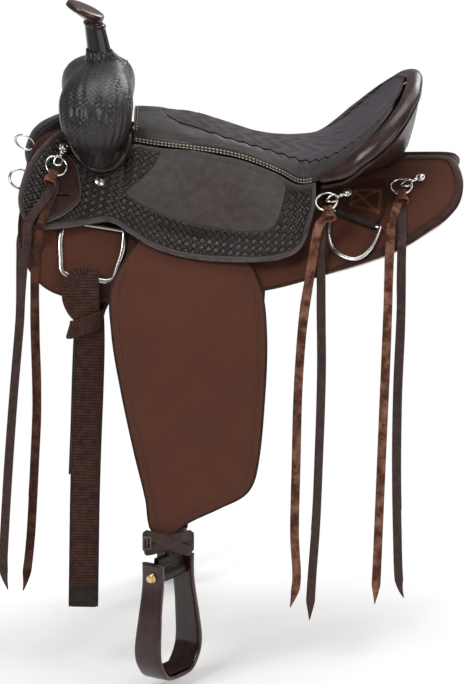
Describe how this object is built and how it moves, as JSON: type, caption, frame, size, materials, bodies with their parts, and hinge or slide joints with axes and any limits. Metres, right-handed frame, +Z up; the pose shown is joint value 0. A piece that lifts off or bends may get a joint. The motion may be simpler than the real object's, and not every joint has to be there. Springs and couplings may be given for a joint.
{
  "type": "western trail saddle",
  "caption": "Western trail saddle with a tall horn, padded suede seat, rolled cantle, cloth skirts and fenders, hanging leather strings and bell stirrups.",
  "frame": {"origin": "on the centre plane, on the line where the horse's spine runs under the middle of the seat", "axes": "-X towards the horse's head, +Z up, -Y towards the near (left) side"},
  "size_m": [0.6773, 0.6444, 0.936],
  "materials": {
    "binding_leather": "glossy brown leather",
    "brass": "polished brass",
    "bright_steel": "polished stainless steel",
    "brown_cordura": "dark brown heavy nylon cloth",
    "brown_webbing": "brown ribbed nylon webbing",
    "dark_leather": "dark brown tooled leather, semi-matt",
    "fleece": "cream woollen fleece",
    "seat_leather": "dark grey smooth leather with purple-grey suede",
    "stirrup_maroon": "dark maroon-brown lacquer over wood",
    "string_leather": "brown latigo leather with a suede back",
    "tree_fibreglass": "fibreglass-covered tree"
  },
  "bodies": {
    "saddle": {"breast_tab_left": "dark_leather", "breast_tab_right": "dark_leather", "cantle_back": "dark_leather", "cantle_roll": "binding_leather", "fleece_left": "fleece", "fleece_right": "fleece", "fork_cover": "dark_leather", "fork_screw_left": "bright_steel", "fork_screw_right": "bright_steel", "front_rigging_strap_left": "brown_cordura", "front_rigging_strap_right": "brown_cordura", "ground_seat": "dark_leather", "horn_cap": "binding_leather", "horn_core": "bright_steel", "horn_wrap": "dark_leather", "latigo_keeper_left": "dark_leather", "latigo_keeper_right": "dark_leather", "rear_rigging_strap_left": "brown_cordura", "rear_rigging_strap_right": "brown_cordura", "seat_jockey_left": "dark_leather", "seat_jockey_right": "dark_leather", "seat_pad": "seat_leather", "skirt_left": "brown_cordura", "skirt_right": "brown_cordura", "tree_bar_left": "tree_fibreglass", "tree_bar_right": "tree_fibreglass", "tree_cantle": "tree_fibreglass", "tree_fork": "tree_fibreglass"},
    "fender_group_left": {"fender_left": "brown_cordura", "stirrup_leather_left": "dark_leather", "hobble_strap_left": "dark_leather"},
    "stirrup_hanger_left": {"stirrup_loop_left": "dark_leather", "stirrup_bolt_left": "brass"},
    "stirrup_body_left": {"stirrup_left": "stirrup_maroon"},
    "front_dee_body_left": {"front_dee_left": "bright_steel"},
    "tie_strap_body_left": {"tie_strap_left": "brown_webbing"},
    "rear_dee_body_left": {"rear_dee_left": "bright_steel"},
    "front_strings_body_left": {"ring_front_left": "bright_steel", "saddle_strings_front_left": "string_leather"},
    "middle_strings_body_left": {"ring_middle_left": "bright_steel", "saddle_strings_middle_left": "string_leather"},
    "rear_strings_body_left": {"ring_rear_left": "bright_steel", "saddle_strings_rear_left": "string_leather"},
    "breast_ring_body_left": {"breast_ring_left": "bright_steel"},
    "fender_group_right": {"fender_right": "brown_cordura", "stirrup_leather_right": "dark_leather", "hobble_strap_right": "dark_leather"},
    "stirrup_hanger_right": {"stirrup_loop_right": "dark_leather", "stirrup_bolt_right": "brass"},
    "stirrup_body_right": {"stirrup_right": "stirrup_maroon"},
    "front_dee_body_right": {"front_dee_right": "bright_steel"},
    "off_billet_body_right": {"off_billet_right": "brown_webbing"},
    "rear_dee_body_right": {"rear_dee_right": "bright_steel"},
    "front_strings_body_right": {"ring_front_right": "bright_steel", "saddle_strings_front_right": "string_leather"},
    "middle_strings_body_right": {"ring_middle_right": "bright_steel", "saddle_strings_middle_right": "string_leather"},
    "rear_strings_body_right": {"ring_rear_right": "bright_steel", "saddle_strings_rear_right": "string_leather"},
    "breast_ring_body_right": {"breast_ring_right": "bright_steel"}
  },
  "joints": [
    {"name": "fender_swing_left", "type": "hinge", "parent": "saddle", "child": "fender_group_left", "pos_m": [-0.03, -0.10847, 0.00705], "axis": [0.0649, -0.7823, 0.6196], "range_deg": [-7, 9]},
    {"name": "stirrup_turn_left", "type": "hinge", "parent": "fender_group_left", "child": "stirrup_hanger_left", "pos_m": [-0.046, -0.26443, -0.46763], "axis": [0, 0, 1], "range_deg": [-25, 25], "stiffness_Nm_per_rad": 0.3},
    {"name": "stirrup_pivot_left", "type": "hinge", "parent": "stirrup_hanger_left", "child": "stirrup_body_left", "pos_m": [-0.046, -0.26443, -0.49463], "axis": [0.5592, 0.829, 0], "range_deg": [-20, 20]},
    {"name": "front_dee_lift_left", "type": "hinge", "parent": "saddle", "child": "front_dee_body_left", "pos_m": [-0.152, -0.13604, -0.01774], "axis": [-0.9841, -0.0455, 0.1719], "range_deg": [0, 6]},
    {"name": "tie_strap_swing_left", "type": "hinge", "parent": "front_dee_body_left", "child": "tie_strap_body_left", "pos_m": [-0.1613, -0.17754, -0.08193], "axis": [-0.9841, -0.0455, 0.1719], "range_deg": [0, 20]},
    {"name": "rear_dee_lift_left", "type": "hinge", "parent": "saddle", "child": "rear_dee_body_left", "pos_m": [0.223, -0.12403, -0.00982], "axis": [-0.8427, 0.492, 0.2187], "range_deg": [0, 18]},
    {"name": "front_strings_lift_left", "type": "hinge", "parent": "saddle", "child": "front_strings_body_left", "pos_m": [-0.2011, -0.10296, 0.07499], "axis": [-1, 0, 0], "range_deg": [0, 25]},
    {"name": "middle_strings_lift_left", "type": "hinge", "parent": "saddle", "child": "middle_strings_body_left", "pos_m": [0.17801, -0.13589, 0.02995], "axis": [1, 0, 0], "range_deg": [-25, 0]},
    {"name": "rear_strings_lift_left", "type": "hinge", "parent": "saddle", "child": "rear_strings_body_left", "pos_m": [0.2875, -0.07062, 0.03539], "axis": [-1, 0, 0], "range_deg": [0, 25]},
    {"name": "breast_ring_lift_left", "type": "hinge", "parent": "saddle", "child": "breast_ring_body_left", "pos_m": [-0.24546, -0.11994, 0.03965], "axis": [-0.3942, -0.6589, -0.6407], "range_deg": [0, 40]},
    {"name": "fender_swing_right", "type": "hinge", "parent": "saddle", "child": "fender_group_right", "pos_m": [-0.03, 0.10847, 0.00705], "axis": [-0.0649, -0.7823, -0.6196], "range_deg": [-7, 9]},
    {"name": "stirrup_turn_right", "type": "hinge", "parent": "fender_group_right", "child": "stirrup_hanger_right", "pos_m": [-0.046, 0.26443, -0.46763], "axis": [0, 0, 1], "range_deg": [-25, 25], "stiffness_Nm_per_rad": 0.3},
    {"name": "stirrup_pivot_right", "type": "hinge", "parent": "stirrup_hanger_right", "child": "stirrup_body_right", "pos_m": [-0.046, 0.26443, -0.49463], "axis": [0, -1, 0], "range_deg": [-20, 20]},
    {"name": "front_dee_lift_right", "type": "hinge", "parent": "saddle", "child": "front_dee_body_right", "pos_m": [-0.152, 0.13604, -0.01774], "axis": [0.9841, -0.0455, -0.1719], "range_deg": [0, 6]},
    {"name": "off_billet_swing_right", "type": "hinge", "parent": "front_dee_body_right", "child": "off_billet_body_right", "pos_m": [-0.1613, 0.17754, -0.08193], "axis": [0.9841, -0.0455, -0.1719], "range_deg": [0, 20]},
    {"name": "rear_dee_lift_right", "type": "hinge", "parent": "saddle", "child": "rear_dee_body_right", "pos_m": [0.223, 0.12403, -0.00982], "axis": [0.8427, 0.492, -0.2187], "range_deg": [0, 18]},
    {"name": "front_strings_lift_right", "type": "hinge", "parent": "saddle", "child": "front_strings_body_right", "pos_m": [-0.2011, 0.10296, 0.07499], "axis": [1, 0, 0], "range_deg": [0, 25]},
    {"name": "middle_strings_lift_right", "type": "hinge", "parent": "saddle", "child": "middle_strings_body_right", "pos_m": [0.17801, 0.13589, 0.02995], "axis": [-1, 0, 0], "range_deg": [-25, 0]},
    {"name": "rear_strings_lift_right", "type": "hinge", "parent": "saddle", "child": "rear_strings_body_right", "pos_m": [0.2875, 0.07062, 0.03539], "axis": [1, 0, 0], "range_deg": [0, 25]},
    {"name": "breast_ring_lift_right", "type": "hinge", "parent": "saddle", "child": "breast_ring_body_right", "pos_m": [-0.24546, 0.11994, 0.03965], "axis": [0.3942, -0.6589, 0.6407], "range_deg": [0, 40]}
  ]
}
